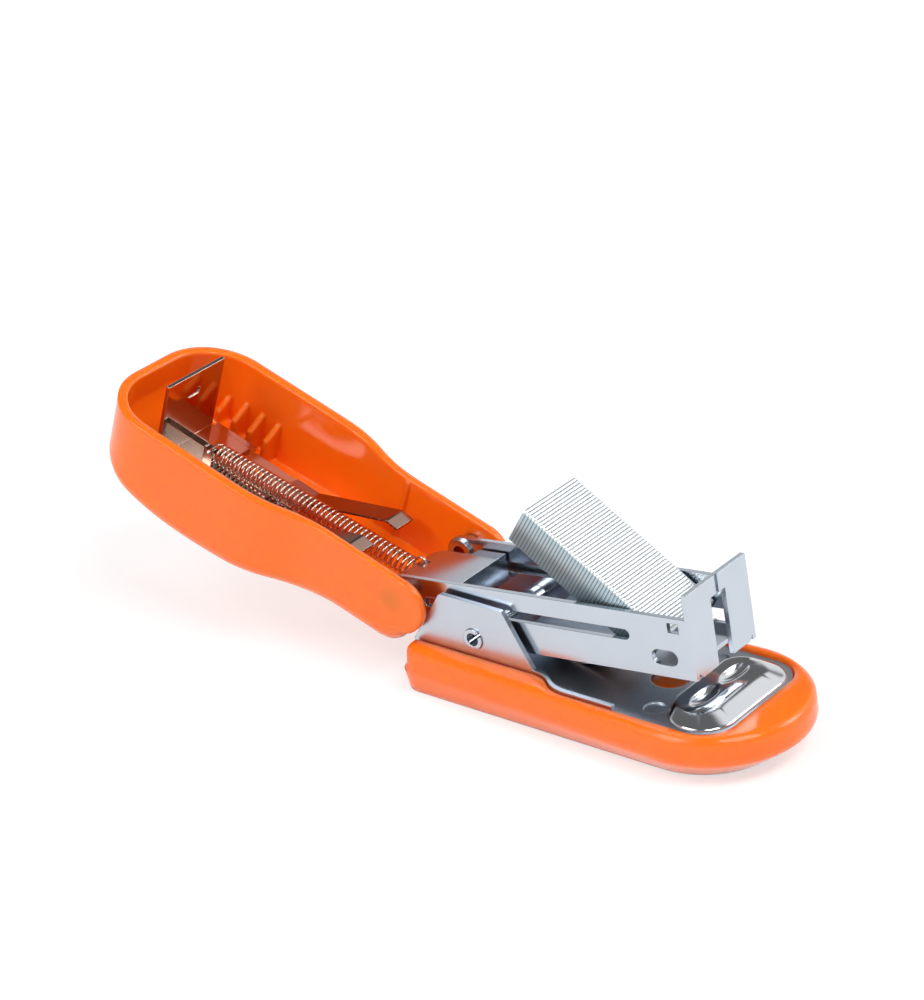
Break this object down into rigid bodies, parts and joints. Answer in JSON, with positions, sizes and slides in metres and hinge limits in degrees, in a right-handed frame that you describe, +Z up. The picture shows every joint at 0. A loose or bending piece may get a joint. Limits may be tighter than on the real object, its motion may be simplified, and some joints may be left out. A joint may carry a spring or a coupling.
{
  "type": "mini stapler",
  "caption": "Small desk stapler opened for loading, with a folded-back handle shell, a tilting sheet-metal magazine and a strip of staples laid in.",
  "frame": {"origin": "middle of the base's underside, on the table", "axes": "+X from the hinge end to the front, +Y across to the far side, +Z up"},
  "size_m": [0.1193, 0.0296, 0.0369],
  "materials": {
    "orange_plastic": "glossy moulded",
    "plated_steel": "bright nickel plate",
    "polished_steel": "polished",
    "spring_steel": "bright drawn",
    "staple_wire": "galvanised wire"
  },
  "bodies": {
    "base": {"base_cover": "orange_plastic", "base_frame": "plated_steel", "anvil": "polished_steel", "lift_spring": "spring_steel", "pivot_pin": "plated_steel"},
    "magazine": {"magazine": "plated_steel", "hinge_eyelets": "plated_steel"},
    "pusher": {"pusher": "plated_steel"},
    "handle": {"handle_cover": "orange_plastic", "handle_plate": "plated_steel", "driver_blade": "plated_steel", "handle_leaf": "spring_steel", "leaf_rivet": "plated_steel", "pusher_spring": "spring_steel"},
    "strip": {"staple_strip": "staple_wire"}
  },
  "joints": [
    {"name": "magazine_press", "type": "hinge", "parent": "base", "child": "magazine", "pos_m": [-0.0185, 0, 0.0105], "axis": [0, 1, 0], "range_deg": [0, 6.1], "deforming": ["lift_spring"]},
    {"name": "handle_fold", "type": "hinge", "parent": "magazine", "child": "handle", "pos_m": [-0.03231, 0, 0.01413], "axis": [0, 1, 0], "range_deg": [0, 153.8], "deforming": ["pusher_spring", "handle_leaf"]},
    {"name": "pusher_slide", "type": "slide", "parent": "magazine", "child": "pusher", "axis": [0.9933, 0, 0.1158], "range_m": [0, 0.006]},
    {"name": "strip_lay", "type": "hinge", "parent": "magazine", "child": "strip", "pos_m": [0.01019, 0, 0.01314], "axis": [0, 1, 0], "range_deg": [-37.3, 0]}
  ],
  "couplings": [
    {"joint": "pusher_slide", "follows": "handle_fold", "m_per_rad": 0.002235},
    {"joint": "strip_lay", "follows": "handle_fold", "ratio": -0.2425}
  ]
}
